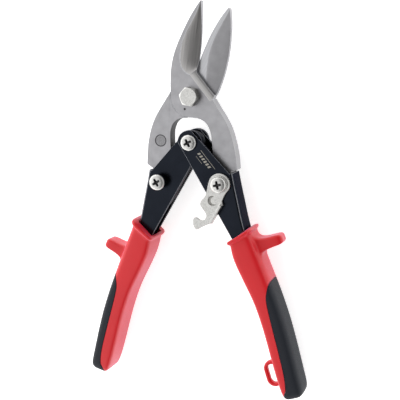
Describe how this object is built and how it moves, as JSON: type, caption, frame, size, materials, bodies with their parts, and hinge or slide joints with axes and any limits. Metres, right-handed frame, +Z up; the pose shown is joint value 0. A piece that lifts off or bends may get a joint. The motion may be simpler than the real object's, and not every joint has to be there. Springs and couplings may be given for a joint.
{
  "type": "aviation snips",
  "caption": "Compound-action sheet metal snips with offset blades, folded steel handles, moulded two-colour grips, finger guards, a closing latch and a hang loop.",
  "frame": {"origin": "centre of the end face of the blade pivot bolt, on the surface that the tool lies on", "axes": "+Y along the tool from the handles to the blade tips, +Z up out of the surface along the pivot bolt, +X to the right seen from above with the blades pointing away"},
  "size_m": [0.1466, 0.2512, 0.03],
  "materials": {
    "forged_steel": "satin, fine ground",
    "zinc_plate": "bright zinc plated",
    "black_steel": "satin blue-black coating",
    "spring_steel": "oil blackened wire",
    "red_grip": "soft satin moulding",
    "grey_pad": "fine matt overmoulding"
  },
  "bodies": {
    "lower_blade": {"lower_blade": "forged_steel", "pivot_bolt": "zinc_plate", "pivot_washer": "zinc_plate", "pivot_nut": "zinc_plate"},
    "upper_blade": {"upper_blade": "forged_steel"},
    "left_handle": {"left_handle": "black_steel", "left_grip": "red_grip", "left_grip_pad": "grey_pad", "left_screw": "zinc_plate", "left_collar": "black_steel", "left_spacer": "zinc_plate", "left_nut": "zinc_plate", "spring_left_half": "spring_steel"},
    "right_handle": {"right_handle": "black_steel", "right_grip": "red_grip", "right_grip_pad": "grey_pad", "right_screw": "zinc_plate", "latch_washer": "zinc_plate", "right_spacer": "zinc_plate", "right_nut": "zinc_plate", "centre_screw": "zinc_plate", "centre_bush": "black_steel", "centre_nut": "zinc_plate", "spring_right_half": "spring_steel"},
    "latch": {"latch": "zinc_plate"}
  },
  "joints": [
    {"name": "blade_pivot", "type": "hinge", "parent": "lower_blade", "child": "upper_blade", "pos_m": [0, 0, 0.0142], "axis": [0, 0, -1], "range_deg": [0, 18], "stiffness_Nm_per_rad": 1.2, "springref_deg": -20.05},
    {"name": "left_handle_pivot", "type": "hinge", "parent": "lower_blade", "child": "left_handle", "pos_m": [-0.0205, -0.0543, 0.0142], "axis": [0, 0, 1], "range_deg": [-0.5, 10]},
    {"name": "right_handle_pivot", "type": "hinge", "parent": "upper_blade", "child": "right_handle", "pos_m": [0.0205, -0.0543, 0.0142], "axis": [0, 0, -1], "range_deg": [-0.5, 10]},
    {"name": "latch_pivot", "type": "hinge", "parent": "right_handle", "child": "latch", "pos_m": [0.0205, -0.0543, 0.0248], "axis": [0, 0, -1], "range_deg": [-54, 42.7]}
  ],
  "couplings": [
    {"joint": "left_handle_pivot", "follows": "blade_pivot", "ratio": 0.49},
    {"joint": "right_handle_pivot", "follows": "blade_pivot", "ratio": 0.49}
  ]
}
